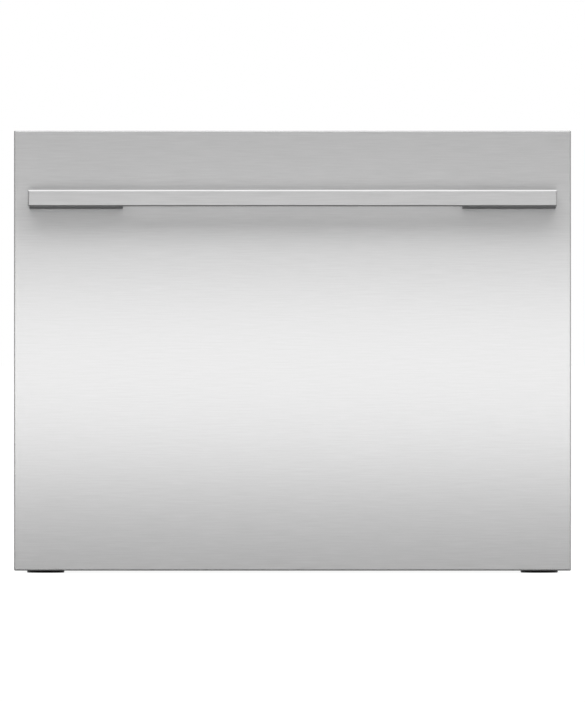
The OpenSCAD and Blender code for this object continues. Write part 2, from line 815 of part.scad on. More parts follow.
module floor_grid(tines) {
    r = frame_wire;
    span = rack_d[1] - rack_d[0];
    count = floor(span / wire_pitch);
    first = rack_d[0] + (span - (count - 1) * wire_pitch) / 2;
    clips = [for (i = [0 : count - 1])
        let (d = first + i * wire_pitch, k = (d - tines[0] - 8) / tine_pitch)
        if (d > tines[0] + 12 && d < tines[1] - 12 && abs(k - round(k)) * tine_pitch > 5) d];
    ring = [
        [rack_x[0], rack_d[0]], [rack_x[1] - rack_cut, rack_d[0]], [rack_x[1], rack_d[0] + rack_cut],
        [rack_x[1], rack_d[1] - rack_cut], [rack_x[1] - rack_cut, rack_d[1]], [rack_x[0], rack_d[1]],
        [rack_x[0], rack_d[0]], [rack_x[1] - rack_cut, rack_d[0]]
    ];
    union() {
        hose(r, [for (p = ring) place(p[0], p[1], rack_z)]);
        for (i = [0 : count - 1]) rod_x(wire, rack_x, first + i * wire_pitch, cross_z);
        for (x = [50, 152, 230]) rod_y(wire, x, rack_d, cross_z - 2 * wire + 0.4);
        for (x = tine_x, d = [clips[0], clips[len(clips) - 1]]) difference() {
            slab([x - 4, x + 4], [d - 2.5, d + 2.5], [cross_z, tine_z + 4]);
            rod_y(tine_axis_r + run, x, [d - 4, d + 4], tine_z);
        }
    }
}

module side_grid(x, top, cut) {
    low = rack_z + frame_wire + rack_gap;
    span = rack_d[1] - rack_d[0];
    count = floor(span / wire_pitch);
    first = rack_d[0] + (span - (count - 1) * wire_pitch) / 2;
    shift = x > 100 ? -1 : 1;
    union() {
        for (i = [0 : count - 1])
            post(wire, x, first + i * wire_pitch + 6, [low, top]);
        if (cut > 0) hose(frame_wire, [
            place(x - cut, rack_d[0], top), place(x, rack_d[0] + cut, top),
            place(x, rack_d[1] - cut, top), place(x - cut, rack_d[1], top)
        ]);
        else rod_y(frame_wire, x, rack_d, top);
        rod_y(wire, x + shift * (2 * wire - 0.4), [rack_d[0] + 16, rack_d[1] - 16], (low + top) / 2 + 10);
    }
}

module end_grid(d, top) {
    low = rack_z + frame_wire + rack_gap;
    x = [rack_x[0] + frame_wire + rack_gap, rack_x[1] - rack_cut];
    shift = d > 300 ? -1 : 1;
    union() {
        for (i = [0 : 5]) post(wire, 36 + i * wire_pitch, d, [low, top]);
        rod_x(frame_wire, x, d, top);
        rod_x(wire, [x[0] + 8, x[1] - 8], d + shift * (2 * wire - 0.4), (low + top) / 2 + 10);
    }
}

// Posts on the outer side that carry the cup rack's hinge, each between two of its bars
module cup_posts(span) {
    far = floor((span[1] - span[0] - 54) / cup_pitch) * cup_pitch;
    for (d = [span[0] + 27, span[0] + 27 + far]) difference() {
        slab([cup_x - 4, rack_x[1] + 2.5], [d - 3, d + 3], [rack_top - 1, cup_z + 4]);
        rod_y(frame_wire + run, cup_x, [d - 4, d + 4], cup_z);
    }
}

module rack(side, tines, cups) {
    color("gray") on_side(side) {
        floor_grid(tines);
        union() {
            side_grid(rack_x[1], rack_top, rack_cut);
            cup_posts(cups);
        }
        side_grid(rack_x[0], rack_top - 50, 0);
        for (d = rack_d) end_grid(d, rack_top - 6);
    }
}
left_tines = [92, 512];
right_tines = [196, 512];
left_cups = [95, 515];
right_cups = [200, 515];

// A row of plate tines on one round wire, which folds towards the middle
module tine_row(side, x, span) {
    count = floor((span[1] - span[0] - 16) / tine_pitch) + 1;
    color("darkgray") on_side(side) union() {
        rod_y(tine_axis_r, x, span, tine_z);
        for (i = [0 : count - 1])
            post(tine_r, x, span[0] + 8 + i * tine_pitch, [tine_z, tine_z + tine_h]);
    }
}

// Folding shelf for cups, stored upright against the tub's wall
module cup_rack(side, span) {
    r = frame_wire;
    bars = [for (d = [span[0] + 12 : cup_pitch : span[1] - 8]) d];
    color("darkgray") on_side(side) union() {
        rod_y(r, cup_x, span, cup_z);
        rod_y(2, cup_x, [span[0] + 12, span[1] - 8], cup_z + cup_w);
        for (d = bars) post(wire, cup_x, d, [cup_z, cup_z + cup_w]);
    }
}

// Moulded basket for cutlery, with a divider and a carrying loop
module cutlery_basket() {
    x = [30, 240];
    d = [84, 176];
    z = [cross_z + wire + 0.2, 230];
    w = 2.5;
    mid = 135;
    color("gray") union() {
        difference() {
            slab(x, d, z);
            slab([x[0] + w, mid - w / 2], [d[0] + w, d[1] - w], [z[0] + w, z[1] + 1]);
            slab([mid + w / 2, x[1] - w], [d[0] + w, d[1] - w], [z[0] + w, z[1] + 1]);
        }
        for (s = [mid - 50, mid + 46]) slab([s, s + 4], [127, 133], [z[1] - 60, z[1] + 36]);
        slab([mid - 50, mid + 50], [127, 133], [z[1] + 30, z[1] + 36]);
        slab([x[0] + 1, x[1] - 1], [128.75, 131.25], [z[0] + 1, z[1] - 60]);
    }
}

// ---- Lid and its drive

lid_x = 279;
lid_d = [56, 549];

// Lid: a moulded plate with a grid of ribs above, and an ear on each side for the lifting link
module lid() {
    plate = 6;
    rib = 3;
    color("whitesmoke") union() {
        round_slab(lid_x, lid_d, [lid_z, lid_z + plate], 30);
        for (x = [-180, -90, 0, 90, 180])
            slab([x - rib / 2, x + rib / 2], [lid_d[0] + 12, lid_d[1] - 12], [lid_z + plate, lid_rib_z]);
        for (d = [140, 224, lift_d, 392, 470])
            slab([-lid_x + 12, lid_x - 12], [d - rib / 2, d + rib / 2], [lid_z + plate, lid_rib_z]);
        both_sides() slab([lid_x - 5, lift_x[1]], [lift_d - 7, lift_d + 4], [lid_z, lid_z + plate]);
    }
}

// Soft seal under the lid, which meets the tub's rim when the lid is down
module lid_seal() {
    color("dimgray") difference() {
        round_slab(lid_x - 1, [lid_d[0] + 2, lid_d[1] - 2], [seal_z, lid_z], 29);
        round_slab(lid_x - 9, [lid_d[0] + 10, lid_d[1] - 10], [seal_z - 1, lid_z + 1], 21);
    }
}

// Outline of the rack's teeth, which point towards the back. The middle tooth is at the origin.
function rack_tooth(i) = let (
    p = PI * module_mm,
    half = p / 4 - tooth_gap,
    slope = tan(pressure)
) [
    [-tooth_ded, i * p - half - tooth_ded * slope], [tooth_add, i * p - half + tooth_add * slope],
    [tooth_add, i * p + half - tooth_add * slope], [-tooth_ded, i * p + half + tooth_ded * slope]
];

// Lifting links: a bar under each ear of the lid, with rack teeth that the pinion drives
module lid_links() {
    pitch_d = pinion_at[0] - pinion_r;
    bar_d = [lift_d - 7, pitch_d - tooth_ded];
    color("silver") both_sides() union() {
        slab(lift_x, bar_d, [pinion_at[1] - 40, lid_z]);
        translate(place(lift_x[0], pitch_d, pinion_at[1])) rotate([90, 0, 90]) linear_extrude(lift_x[1] - lift_x[0])
            polygon(concat([[-tooth_ded - 1, -26]], [for (i = [-5 : 5]) each rack_tooth(i)], [[-tooth_ded - 1, 26]]));
    }
}

// Outline of an involute pinion, with a gap between teeth facing the front
function inv(a) = tan(a) * 180 / PI - a;
function flank(r) = let (base = pinion_r * cos(pressure))
    90 / pinion_teeth - tooth_gap / pinion_r * 180 / PI + inv(pressure) - (r > base ? inv(acos(base / r)) : 0);
function polar(r, a) = r * [cos(a), sin(a)];
function pinion_tooth(a) = let (
    base = pinion_r * cos(pressure),
    tip = pinion_r + tooth_add,
    radii = [pinion_r - tooth_ded, base, (base + pinion_r) / 2, pinion_r, (pinion_r + tip) / 2, tip]
) concat([for (r = radii) polar(r, a - flank(r))], [for (i = [5 : -1 : 0]) polar(radii[i], a + flank(radii[i]))]);

// Pinions of the lid drive, each on its motor's shaft
module lid_pinions() {
    x = [lift_x[0] + 0.1, lift_x[1] - 0.1];
    step = 360 / pinion_teeth;
    color("gold") both_sides() union() {
        translate(place(x[0], pinion_at[0], pinion_at[1])) rotate([90, 0, 90]) linear_extrude(x[1] - x[0])
            polygon([for (i = [0 : pinion_teeth - 1]) each pinion_tooth(180 + step / 2 + i * step)]);
        rod_x(3, [285, in_x - 0.2], pinion_at[0], pinion_at[1]);
    }
}

// ---- Hose arms

// One arm along +X from its pivot: a trough with a bored boss at the start
module hose_trough(bore, boss, wall_end) {
    translate([0, -arm_w / 2, 0]) cube([arm_l, arm_w, trough_w]);
    for (y = [-arm_w / 2, arm_w / 2 - trough_w])
        translate([16, y, 0]) cube([wall_end - 16, trough_w, link_h]);
    for (x = [0, arm_l]) translate([x, 0, 0]) cylinder(r = arm_w / 2, h = 2 * trough_w);
    cylinder(r = boss, h = link_h);
}
trough_w = 2;
trough_hose_z = trough_w + hose_r + 0.3;

// Rear arm: turns on the tray's post, and carries the elbow's pin at its end
module hose_arm_rear() {
    translate(place(arm_x, arm_d[0], link_z[0])) rotate([0, 0, -arm_rest]) {
        color("dimgray") difference() {
            union() {
                hose_trough(6 + run, 10, arm_l - 16);
                translate([arm_l, 0, 0]) cylinder(r = 5, h = link_z[1] - link_z[0] + link_h);
            }
            translate([0, 0, -1]) cylinder(r = 6 + run, h = link_h + 2);
        }
        color("darkgray") for (y = [-hose_gap / 2, hose_gap / 2])
            translate([24, y, trough_hose_z]) rotate([0, 90, 0]) cylinder(r = hose_r, h = arm_l - 48);
    }
}

// Front arm: turns on the elbow's pin, and its hoses rise through the hollow pin at its end
module hose_arm_front() {
    shaft = 10;
    translate(place(elbow[0], elbow[1], link_z[1])) rotate([0, 0, 180 + arm_rest]) {
        color("dimgray") difference() {
            union() {
                hose_trough(5 + run, 8.5, arm_l);
                translate([arm_l, 0, 0]) cylinder(r = arm_w / 2, h = link_h);
                translate([arm_l, 0, 0]) cylinder(r = end_pin, h = link_h + 10);
            }
            translate([0, 0, -1]) cylinder(r = 5 + run, h = link_h + 2);
            translate([arm_l, 0, trough_w]) cylinder(r = shaft, h = link_h + 20);
            translate([arm_l - arm_w / 2 - 1, -shaft, trough_w]) cube([arm_w / 2 + 1, 2 * shaft, link_h - trough_w]);
        }
        color("darkgray") for (y = [-hose_gap / 2, hose_gap / 2])
            hose(hose_r, [[24, y, trough_hose_z], [arm_l, y, trough_hose_z], [arm_l, y, link_h + 14]]);
    }
}

base_tray();
mirror([1, 0, 0]) side_panel();  // left_side_panel
side_panel();  // right_side_panel
rear_panel();
top_panel();
door_gasket();
slide_outers();
lid_actuators();
service_pocket();
inlet_valve();
drain_spigot();
chassis_hoses();
chassis_screws();
door_panel();
handle_bar();
handle_blocks();
handle_screws();
inner_door();
control_housing();
display_lens();
tub();
sump_bowl();
pump_cover();
motor_stator();
filter_plate();
slide_inners();
tub_brackets();
rack(-1, left_tines, left_cups);  // left_rack
rack(1, right_tines, right_cups);  // right_rack
cutlery_basket();
dispenser_body();
drawer_hoses();
slide_middles();
ball_cages_outer();
ball_cages_inner();
lid();
lid_seal();
lid_links();
lid_pinions();
hose_arm_rear();
hose_arm_front();
spray_arm();
pump_rotor();
drain_filter();
dispenser_door();
rinse_cap();
tine_row(-1, tine_x[1], left_tines);  // left_outer_tines
tine_row(-1, tine_x[0], left_tines);  // left_inner_tines
tine_row(1, tine_x[1], right_tines);  // right_outer_tines
tine_row(1, tine_x[0], right_tines);  // right_inner_tines
cup_rack(-1, left_cups);  // left_cup_rack
cup_rack(1, right_cups);  // right_cup_rack
button(0);  // power_button
button(1);  // program_button
button(2);  // option_button
button(3);  // start_button
foot(-foot_x, foot_d[0]);  // foot_front_left
foot(foot_x, foot_d[0]);  // foot_front_right
foot(-foot_x, foot_d[1]);  // foot_rear_left
foot(foot_x, foot_d[1]);  // foot_rear_right
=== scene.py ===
import math

import bpy
from mathutils import Euler, Matrix, Vector


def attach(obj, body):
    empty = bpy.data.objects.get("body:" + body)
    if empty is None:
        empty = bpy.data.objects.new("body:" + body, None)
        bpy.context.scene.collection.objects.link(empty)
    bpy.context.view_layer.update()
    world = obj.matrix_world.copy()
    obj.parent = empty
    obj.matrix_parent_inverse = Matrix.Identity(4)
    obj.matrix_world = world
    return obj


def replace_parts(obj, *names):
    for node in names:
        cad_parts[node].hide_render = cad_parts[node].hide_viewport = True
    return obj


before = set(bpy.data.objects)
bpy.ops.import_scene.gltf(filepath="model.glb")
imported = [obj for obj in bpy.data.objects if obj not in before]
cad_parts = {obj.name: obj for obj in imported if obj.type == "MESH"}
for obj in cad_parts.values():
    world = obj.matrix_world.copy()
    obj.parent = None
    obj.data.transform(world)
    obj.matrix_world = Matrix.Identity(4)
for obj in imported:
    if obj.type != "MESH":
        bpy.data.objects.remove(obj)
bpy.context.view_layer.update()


# ---- Camera: square on to the front panel through a long lens, fifteen metres in front of it.
# The panel's middle sits in the middle of the picture.

def at(x, d, z):
    """A point in metres, from millimetres across, behind the panel's face and above the
    chassis's underside."""
    return Vector((x / 1000, (d - 264) / 1000, (z + 18) / 1000))


lens = bpy.data.cameras.new("camera")
lens.lens, lens.sensor_width, lens.clip_end = 719, 36, 900
camera = bpy.data.objects.new("camera", lens)
bpy.context.scene.collection.objects.link(camera)
camera.location = at(0, -15000, 220)
camera.rotation_euler = (math.radians(90), 0, 0)
bpy.context.scene.camera = camera
bpy.context.scene.view_settings.view_transform = "Standard"


# ---- Studio: a pale room with a soft light above and in front, one overhead, and a long low strip
# that draws the pale band across the brushed steel. What mirrors the room sees it darker at its
# front corners and low down, and sees a black card on the floor in front.

class Shade:
    """One socket of a shader's nodes. Arithmetic on it adds Math nodes, and add() any others."""

    def __init__(self, tree, socket=None):
        self.tree, self.socket = tree, socket

    def add(self, kind, inputs=None, out=0, **settings):
        node = self.tree.nodes.new("ShaderNode" + kind)
        for name, value in settings.items():
            setattr(node, name, value)
        for name, value in (inputs or {}).items():
            if isinstance(value, Shade):
                self.tree.links.new(value.socket, node.inputs[name])
            else:
                node.inputs[name].default_value = value
        return Shade(self.tree, node.outputs[out])

    def maths(self, operation, *values):
        return self.add("Math", dict(enumerate(values)), operation=operation)

    def __add__(self, other): return self.maths("ADD", self, other)
    def __radd__(self, other): return self.maths("ADD", other, self)
    def __sub__(self, other): return self.maths("SUBTRACT", self, other)
    def __rsub__(self, other): return self.maths("SUBTRACT", other, self)
    def __mul__(self, other): return self.maths("MULTIPLY", self, other)
    def __rmul__(self, other): return self.maths("MULTIPLY", other, self)

    def sine(self): return self.maths("SINE", self)

    def axes(self):
        return [self.add("SeparateXYZ", {0: self}, out=way) for way in "XYZ"]

    def ramp(self, low, high, start=0.0, end=1.0):
        return self.add("MapRange", {0: self, 1: low, 2: high, 3: start, 4: end},
                        interpolation_type="SMOOTHSTEP")

    def tint(self, dark, light):
        return self.add("Mix", {0: self, 6: (*dark, 1), 7: (*light, 1)}, out=2, data_type="RGBA")


def rays(start):
    """Three switches: 1 for what the camera sees straight, through glass, and in a mirror."""
    return [start.add("LightPath", out=f"Is {kind} Ray")
            for kind in ("Camera", "Transmission", "Glossy")]


world = bpy.data.worlds.new("studio")
bpy.context.scene.world = world
world.use_nodes = True
sky = Shade(world.node_tree)
seen, through, mirrored = rays(sky)
across, deep, up = sky.add("TexCoord", out="Generated").axes()
# As a mirror sees it, the room is full ahead and above, dark to the left, dim to the right and
# pale again behind the part.
room = 0.38
behind = deep.ramp(0.1, 0.6, 0.0, 0.75)
sides = across.ramp(-0.5, -0.08, 0.0, 1.0) * across.ramp(0.08, 0.5, 1.0, 0.4)
flag = up.ramp(0.1, 0.6, 0.6, 1.0) * (sides + (1 - sides) * behind)
level = room + (seen + through) * (1 - room) + mirrored * (flag - room)
backdrop = world.node_tree.nodes["Background"]
world.node_tree.links.new(level.socket, backdrop.inputs["Strength"])
backdrop.inputs["Color"].default_value = (1, 1, 1, 1)


def lamp(name, place, turn, size, watts, in_mirrors=True):
    """A rectangular lamp, turned by degrees, that the camera doesn't see."""
    light = bpy.data.lights.new(name, "AREA")
    light.shape = "RECTANGLE"
    light.size, light.size_y = size
    light.energy = watts
    holder = bpy.data.objects.new(name, light)
    holder.location = place
    holder.rotation_euler = [math.radians(angle) for angle in turn]
    holder.visible_camera, holder.visible_glossy = False, in_mirrors
    bpy.context.scene.collection.objects.link(holder)


lamp("front_strip", at(0, -1000, 196), (90, 0, 0), (2.0, 0.25), 2.05)
lamp("high_front", (0, -2.1, 1.74), (54, 0, 0), (2.6, 1.0), 58, in_mirrors=False)
lamp("overhead", (0, -0.25, 2.2), (0, 0, 0), (2.4, 2.4), 6)


def added(primitive, name, **sizes):
    """A new primitive, selected alone, with its place, turn and size put into its mesh."""
    bpy.ops.object.select_all(action="DESELECT")
    primitive(**sizes)
    piece = bpy.context.object
    piece.name = piece.data.name = name
    bpy.ops.object.transform_apply(location=True, rotation=True, scale=True)
    return piece


def surface(name, roughness, metallic=0.0, **fixed):
    """A new material, with the values that are the same all over it set on its shader."""
    material = bpy.data.materials.new(name)
    material.use_nodes = True
    inputs = material.node_tree.nodes["Principled BSDF"].inputs
    inputs["Roughness"].default_value = roughness
    inputs["Metallic"].default_value = metallic
    for key, value in fixed.items():
        inputs[key.replace("_", " ")].default_value = value
    return material


def wire_up(material, **values):
    """Links expressions to the shader's sockets."""
    tree = material.node_tree
    for name, value in values.items():
        tree.links.new(value.socket, tree.nodes["Principled BSDF"].inputs[name.replace("_", " ")])


floor = added(bpy.ops.mesh.primitive_plane_add, "floor", size=400)
paint = surface("floor_paint", 0.9, Base_Color=(0.3, 0.3, 0.3, 1), Specular_IOR_Level=0.0,
                Emission_Strength=0.93)
seen, through, mirrored = rays(Shade(paint.node_tree))
wire_up(paint, Emission_Color=seen + mirrored + through)
floor.data.materials.append(paint)

card_size, card_edge = 390, -0.2
card = added(bpy.ops.mesh.primitive_plane_add, "dark_card", size=card_size,
             location=(0, card_edge - card_size / 2, 0.001))
card.visible_camera = card.visible_diffuse = card.visible_shadow = card.visible_transmission = False
card.data.materials.append(surface("card_black", 1.0, Base_Color=(0.03, 0.03, 0.03, 1),
                                   Specular_IOR_Level=0.0))


# ---- Front panel: one sheet of stainless steel, folded back all round and hooked in behind.
# Its face is brushed from side to side, in fine streaks a few centimetres long.

def block(name, low, high):
    """A box from its lowest corner to its highest."""
    return added(bpy.ops.mesh.primitive_cube_add, name, size=1, location=(low + high) / 2,
                 scale=high - low)


def unpick(edges=False, faces=False):
    """Leaves nothing of the piece picked, and sets whether edges or faces are picked next."""
    bpy.context.tool_settings.mesh_select_mode = (False, edges, faces)
    bpy.ops.object.mode_set(mode="EDIT")
    bpy.ops.mesh.select_all(action="DESELECT")
    bpy.ops.object.mode_set(mode="OBJECT")


def pick(piece, test):
    """Goes into edit mode with only the faces picked that pass the test of middle and normal."""
    unpick(faces=True)
    for face in piece.data.polygons:
        face.select = bool(test(face.center, face.normal))
    bpy.ops.object.mode_set(mode="EDIT")


def pick_edges(piece, test):
    """Goes into edit mode with only the edges picked that pass the test of their two ends."""
    unpick(edges=True)
    for edge in piece.data.edges:
        edge.select = bool(test(*(piece.data.vertices[corner].co for corner in edge.vertices)))
    bpy.ops.object.mode_set(mode="EDIT")


def push(x=0, d=0, z=0):
    """Extrudes what is picked, by millimetres."""
    way = (x / 1000, d / 1000, z / 1000)
    bpy.ops.mesh.extrude_region_move(TRANSFORM_OT_translate={"value": way})


def take(*pieces):
    """Selects these pieces and nothing else, with the first as the one that is worked on."""
    bpy.ops.object.select_all(action="DESELECT")
    for piece in pieces:
        piece.select_set(True)
    bpy.context.view_layer.objects.active = pieces[0]


def modified(piece, kind, **settings):
    """Gives the piece that is worked on a modifier and applies it."""
    bpy.ops.object.modifier_add(type=kind)
    modifier = piece.modifiers[-1]
    for name, value in settings.items():
        setattr(modifier, name, value)
    bpy.ops.object.modifier_apply(modifier=modifier.name)


def finished(piece, body, material, edge=0.0, steps=2):
    """Rounds the piece's edges, smooths its curves and gives it its material and its body."""
    if bpy.context.mode == "EDIT_MESH":
        bpy.ops.object.mode_set(mode="OBJECT")
    take(piece)
    if edge:
        modified(piece, "BEVEL", width=edge / 1000, segments=steps, limit_method="ANGLE",
                 angle_limit=math.radians(30))
    bpy.ops.object.shade_smooth_by_angle(angle=math.radians(40))
    modified(piece, "WEIGHTED_NORMAL", keep_sharp=True, weight=100)
    piece.data.materials.clear()
    piece.data.materials.append(material)
    if body:
        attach(piece, body)
    return piece


def own_place(material):
    """The coordinates of the piece that has the material, in metres."""
    return Shade(material.node_tree).add("TexCoord", out="Object")


def grain(material, scale, detail):
    """Noise on the piece's own coordinates, with so many cells to the metre along X, Y and Z."""
    place = own_place(material)
    place = place.add("VectorMath", {0: place, 1: scale}, operation="MULTIPLY")
    return place.add("TexNoise",
                     {"Vector": place, "Scale": 1.0, "Detail": detail, "Roughness": 0.6})


def relief(height, depth, strength=1.0):
    """A bump of so many millimetres from an expression."""
    return height.add("Bump", {"Strength": strength, "Distance": depth / 1000, "Height": height})


def around(colour, share):
    """The colour made darker and made lighter by a share of itself."""
    return [[min(1, part * (1 + change)) for part in colour] for change in (-share, share)]


def brushed(name, colour, roughness, scale, contrast, wear=0.0, metallic=1.0, **fixed):
    """Metal with a fine grain in its colour, roughness and relief, level all round or drawn out."""
    material = surface(name, roughness, metallic, **fixed)
    streaks = grain(material, scale, 4)
    cloud = grain(material, (6, 6, 6), 2)
    shift = (streaks - 0.5) * contrast + (cloud - 0.5) * wear
    wire_up(material,
            Base_Color=shift.ramp(-0.5, 0.5).tint(*around(colour, 0.5)),
            Roughness=roughness + (streaks - 0.5) * 0.08,
            Normal=relief(streaks, 0.02, 0.25))
    return material


steel_front = brushed("brushed_steel", (0.68, 0.68, 0.68), 0.158, (30, 30, 900), 0.15,
                      metallic=0.7, Anisotropic=0.9, Anisotropic_Rotation=0.25)

panel_wide, panel_low, panel_high = 596, -15, 471
sheet, fold, hem, bend = 1.2, 20, 13.2, 1.5
panel = block("front_panel", at(-panel_wide / 2, 0, panel_low),
              at(panel_wide / 2, fold, panel_low + panel_high))
pick(panel, lambda middle, normal: normal.y > 0.9)
bpy.ops.mesh.inset(thickness=hem / 1000)
push(d=-sheet)
push()
bpy.ops.transform.resize(value=((panel_wide - 2 * sheet) / (panel_wide - 2 * hem), 1,
                                (panel_high - 2 * sheet) / (panel_high - 2 * hem)))
push(d=2 * sheet - fold)
bpy.ops.object.mode_set(mode="OBJECT")
near_face, near_side = at(0, 0.1, 0).y, at(panel_wide / 2 - 0.1, 0, 0).x
pick_edges(panel, lambda a, b: max(a.y, b.y) < near_face
           or min(abs(a.x), abs(b.x)) > near_side and abs(a.z - b.z) < 0.0001)
bpy.ops.mesh.bevel(offset=bend / 1000, segments=5)
finished(panel, "drawer", steel_front, edge=0.25)
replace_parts(panel, "door_panel")


# ---- Handle: a flat bar of the same brushed steel, chamfered round its front, on a cast block behind
# each end, made dark grey as painted shade. The blocks are set in at its ends, and only a thin dark
# line of them shows under it, as a painted shadow under the bar's ends.

def joined(pieces, name, body):
    """The pieces made into one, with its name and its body."""
    take(*pieces)
    bpy.ops.object.join()
    pieces[0].name = pieces[0].data.name = name
    if body:
        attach(pieces[0], body)
    return pieces[0]


handle_z, bar_half, bar_rise = 383.1, 282.5, 8.8
bar_front, bar_back, bar_chamfer = -45, -31, 1.4

bar = block("handle_bar_front", at(-bar_half, bar_front, handle_z - bar_rise),
            at(bar_half, bar_back, handle_z + bar_rise))
pick(bar, lambda middle, normal: normal.y < -0.9)
bpy.ops.mesh.bevel(offset=bar_chamfer / 1000, segments=1)
finished(bar, "drawer", steel_front, edge=0.15)
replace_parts(bar, "handle_bar")

# The blocks' dark grey is painted shade: it darkens them and their reflection under the bar's ends.
casting_dark_as_shade = brushed("casting_dark_as_shade", (0.2, 0.2, 0.203), 0.45, (300, 300, 300), 0.1, 0.1)
block_inner, block_outer = 181.5, 281.1
# The blocks reach a little below the bar, so a thin dark strip of them shows as a painted shadow
# under it.
block_low, block_high, block_rim = handle_z - 11, handle_z + 7.4, 1.2
ends = []
for side in (-1, 1):
    left, right = sorted((side * block_inner, side * block_outer))
    end = block("handle_block", at(left, bar_back, block_low), at(right, 0, block_high))
    pick(end, lambda middle, normal: abs(normal.x) > 0.9)
    bpy.ops.mesh.inset(thickness=block_rim / 1000)
    ends.append(finished(end, None, casting_dark_as_shade, edge=0.4))
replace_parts(joined(ends, "handle_end_blocks", "drawer"), "handle_blocks")


# ---- Handle screws: two pan-head machine screws with a cross recess at each end of the handle.
# They are rolled and plated, and go through the panel from behind into the blocks.

def screw(name, radius, height, shank, length):
    """A screw standing on the origin along +Z: the head above zero, the shank below."""
    piece = added(bpy.ops.mesh.primitive_cylinder_add, name, vertices=32, radius=radius / 1000,
                  depth=height / 1000, location=(0, 0, height / 2000))
    pick(piece, lambda middle, normal: normal.z < -0.9)
    bpy.ops.mesh.inset(thickness=(radius - shank) / 1000)
    push(z=-length)
    pick(piece, lambda middle, normal: normal.z > 0.9)
    bpy.ops.mesh.bevel(offset=min(height, 1.2) * 0.55 / 1000, segments=3)
    bpy.ops.object.mode_set(mode="OBJECT")
    recess = [size / 1000 for size in (radius * 1.1, radius * 0.22, height * 1.1)]
    for angle in (0, 90):
        bpy.ops.object.select_all(action="DESELECT")
        bpy.ops.mesh.primitive_cube_add(size=1, location=(0, 0, height / 1000), scale=recess,
                                        rotation=(0, 0, math.radians(angle)))
        cutter = bpy.context.object
        take(piece)
        modified(piece, "BOOLEAN", object=cutter)
        bpy.data.objects.remove(cutter)
    return piece


def copied(piece, name, places, body):
    """Copies of a finished small piece, each turned by degrees and moved, joined into one."""
    copies = []
    for place, turn in places:
        copy = bpy.data.objects.new(name, piece.data.copy())
        turned = Euler([math.radians(angle) for angle in turn]).to_matrix().to_4x4()
        copy.data.transform(Matrix.Translation(place) @ turned)
        bpy.context.scene.collection.objects.link(copy)
        copies.append(copy)
    return joined(copies, name, body)


plated = brushed("screw_steel", (0.58, 0.58, 0.58), 0.34, (300, 300, 300), 0.08)
pan = finished(screw("handle_screw", 4.5, 3, 2.1, 21), None, plated)
places = [(at(x, sheet, handle_z), (-90, 0, 0)) for x in (-260, -208, 208, 260)]
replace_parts(copied(pan, "handle_pan_screws", places, "drawer"), "handle_screws")
bpy.data.objects.remove(pan)


# ---- Inner door: a white moulded carrier, ribbed behind, that hooks into the panel's folded edges.
# The mould leaves a soft radius on every rib and a fine matt grain.

def shaped(node, name, body, material, edge, steps=2):
    """A merged copy of a CAD node with rounded edges, which stands for the node."""
    piece = bpy.data.objects.new(name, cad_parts[node].data.copy())
    bpy.context.scene.collection.objects.link(piece)
    take(piece)
    bpy.ops.object.mode_set(mode="EDIT")
    bpy.ops.mesh.select_all(action="SELECT")
    bpy.ops.mesh.customdata_custom_splitnormals_clear()
    bpy.ops.mesh.remove_doubles(threshold=0.000002)
    bpy.ops.mesh.dissolve_limited(angle_limit=math.radians(1))
    bpy.ops.object.mode_set(mode="OBJECT")
    finished(piece, body, material, edge, steps)
    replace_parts(piece, node)


def kept(node, material):
    """A CAD node that keeps its shape and gets its own finish."""
    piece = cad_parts[node]
    piece.data.materials.clear()
    piece.data.materials.append(material)


def moulded(name, colour, roughness, pits=0.012, uneven=0.06):
    """Injection-moulded plastic: a fine pitted grain, and slow patches in its gloss and colour."""
    material = surface(name, roughness)
    pores = grain(material, (1500, 1500, 1500), 3)
    cloud = grain(material, (14, 14, 14), 3)
    wire_up(material,
            Base_Color=cloud.ramp(0.3, 0.7).tint(*around(colour, uneven)),
            Roughness=roughness + (cloud - 0.5) * 0.15 + (pores - 0.5) * 0.12,
            Normal=relief(pores, pits, 0.6))
    return material


white = (0.74, 0.74, 0.73)
white_plastic = moulded("white_plastic", white, 0.42)
shaped("inner_door", "inner_door_moulding", "drawer", white_plastic, edge=0.6)


# ---- Control strip: a black moulding across the drawer's top edge, clipped to the inner door, with
# four grey keys, a small glass display and a clear lamp dot beside each key. Its circuit board
# hangs underneath.

black_plastic = moulded("black_plastic", (0.030, 0.030, 0.032), 0.45, uneven=0.15)
shaped("control_housing", "control_strip", "drawer", black_plastic, edge=0.4)
key_plastic = moulded("key_plastic", (0.36, 0.37, 0.38), 0.38)
for key in ("power_button", "program_button", "option_button", "start_button"):
    shaped(key, key + "_cap", key, key_plastic, edge=0.6, steps=3)
glass = surface("display_window", 0.06, Coat_Weight=0.6, Coat_Roughness=0.04)
smear = grain(glass, (60, 60, 60), 4)
wire_up(glass,
        Base_Color=smear.tint((0.008, 0.009, 0.011), (0.014, 0.015, 0.018)),
        Roughness=0.04 + smear * 0.09)
shaped("display_lens", "display_window", "drawer", glass, edge=0.25, steps=3)

lens_dot = surface("indicator_lens", 0.25)
glow = grain(lens_dot, (900, 900, 900), 2)
wire_up(lens_dot, Base_Color=glow.tint((0.55, 0.56, 0.52), (0.75, 0.76, 0.70)))
dot = finished(added(bpy.ops.mesh.primitive_cylinder_add, "dot", vertices=24, radius=0.0014,
                     depth=0.0008), None, lens_dot, edge=0.25)
places = [(at(x, 36, 438.1), (0, 0, 0)) for x in (-138, -102, 102, 138)]
copied(dot, "indicator_dots", places, "drawer")
bpy.data.objects.remove(dot)


# ---- Tub and sump: the tub is one pale grey moulding with a flat rim, a ledge for the racks and a
# hole in its floor. The sump bowl is moulded of darker polypropylene and screwed up under the hole.

tub_plastic = moulded("tub_plastic", (0.40, 0.42, 0.44), 0.36, pits=0.006, uneven=0.04)
grey_plastic = moulded("grey_plastic", (0.20, 0.215, 0.23), 0.45, uneven=0.08)
shaped("tub", "wash_tub", "drawer", tub_plastic, edge=1.4, steps=3)
shaped("sump_bowl", "sump", "drawer", grey_plastic, edge=0.8)


# ---- Pump: a stack of varnished iron laminations round the sump's well turns a magnetic rotor
# inside it, whose impeller feeds the spray arm through the spigot on the moulded cover.

